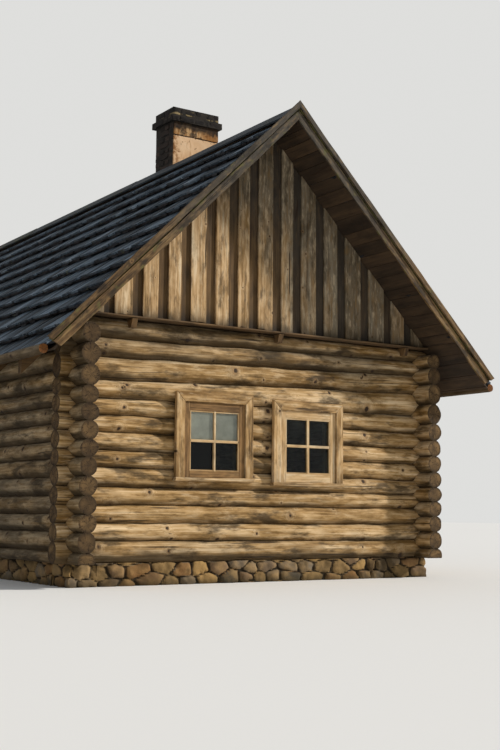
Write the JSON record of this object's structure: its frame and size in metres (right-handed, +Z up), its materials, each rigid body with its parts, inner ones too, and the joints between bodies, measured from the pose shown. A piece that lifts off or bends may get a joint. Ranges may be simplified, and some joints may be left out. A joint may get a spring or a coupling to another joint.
{
  "type": "log cabin",
  "caption": "Log cabin with notched round-log walls, boarded gables, a steep shingled roof with deep overhangs, small framed windows, a plank door and a plastered chimney.",
  "frame": {"origin": "on the ground under the middle of the building, at the underside of the plinth", "axes": "+X to the right seen from the front gable, +Y to the back gable along the ridge, +Z up"},
  "size_m": [5.7826, 9.96, 5.8399],
  "materials": {
    "plinth_stone": "rough fieldstone",
    "log_wood": "weathered round logs",
    "board_wood": "weathered sawn boards",
    "trim_wood": "weathered planed boards",
    "sash_wood": "worn pale paint on wood",
    "window_glass": "old clear glass",
    "shingle_wood": "weathered split shingles",
    "chimney_plaster": "worn lime plaster on masonry",
    "chimney_brick": "sooty brick"
  },
  "bodies": {
    "root": {"plinth_front": "plinth_stone", "plinth_back": "plinth_stone", "plinth_left": "plinth_stone", "plinth_right": "plinth_stone", "front_wall_lower_logs": "log_wood", "front_wall_upper_logs": "log_wood", "back_wall_lower_logs": "log_wood", "back_wall_upper_logs": "log_wood", "left_wall_lower_logs": "log_wood", "left_wall_upper_logs": "log_wood", "right_wall_lower_logs": "log_wood", "right_wall_upper_logs": "log_wood", "floor_joists": "board_wood", "floor_boards": "board_wood", "rafters_left": "board_wood", "rafters_right": "board_wood", "roof_sheathing_left": "board_wood", "roof_sheathing_right": "board_wood", "roof_shingles_left": "shingle_wood", "roof_shingles_right": "shingle_wood", "ridge_boards": "board_wood", "eave_poles": "log_wood", "front_barge_boards": "board_wood", "back_barge_boards": "board_wood", "front_gable": "board_wood", "back_gable": "board_wood", "front_ledge": "board_wood", "back_ledge": "board_wood", "front_ledge_brackets": "board_wood", "back_ledge_brackets": "board_wood", "left_window_frame": "trim_wood", "left_window_trim": "trim_wood", "left_window_sash": "sash_wood", "left_window_glass": "window_glass", "right_window_frame": "trim_wood", "right_window_trim": "trim_wood", "right_window_sash": "sash_wood", "right_window_glass": "window_glass", "door_frame": "trim_wood", "door_trim": "trim_wood", "door_leaf": "board_wood", "chimney": "chimney_plaster", "chimney_cap": "chimney_brick"}
  },
  "joints": []
}
